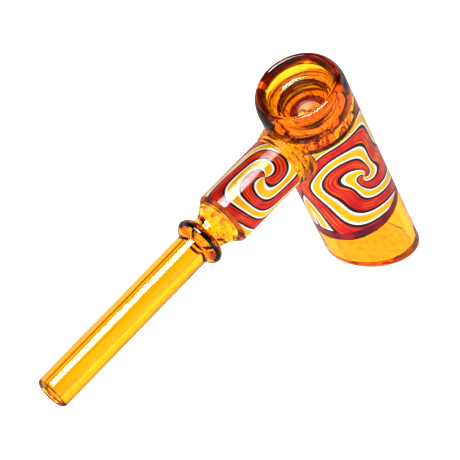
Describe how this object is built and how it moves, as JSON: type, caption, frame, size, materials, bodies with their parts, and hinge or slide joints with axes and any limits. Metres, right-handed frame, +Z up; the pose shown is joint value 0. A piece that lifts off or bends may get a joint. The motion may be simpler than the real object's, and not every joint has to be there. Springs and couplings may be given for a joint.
{
  "type": "glass hammer bubbler",
  "caption": "Hammer-shaped amber glass bubbler: a leaning hollow head on a flat foot with a pushed bowl, and a sloping arm that ends in a mouthpiece tube.",
  "frame": {"origin": "middle of the flat foot, on the table", "axes": "+Z up; the head leans towards -X and the arm runs out to -X and down to the table; XZ is the plane of symmetry"},
  "size_m": [0.2018, 0.038, 0.1054],
  "materials": {
    "amber_glass": "clear amber borosilicate glass, fire-polished",
    "deep_amber_glass": "thick clear amber glass, deep red-brown where it is thickest",
    "linework_glass": "opaque red, black, white and yellow linework under a clear gloss",
    "black_glass": "opaque black glass, gloss"
  },
  "bodies": {
    "root": {"base_cup": "amber_glass", "head_band": "linework_glass", "shoulder": "amber_glass", "bowl_lip": "deep_amber_glass", "push_bowl": "amber_glass", "downstem": "amber_glass", "weld_collar": "amber_glass", "neck_band": "linework_glass", "reducer": "amber_glass", "maria": "amber_glass", "maria_stripe": "black_glass", "stem": "amber_glass"}
  },
  "joints": []
}
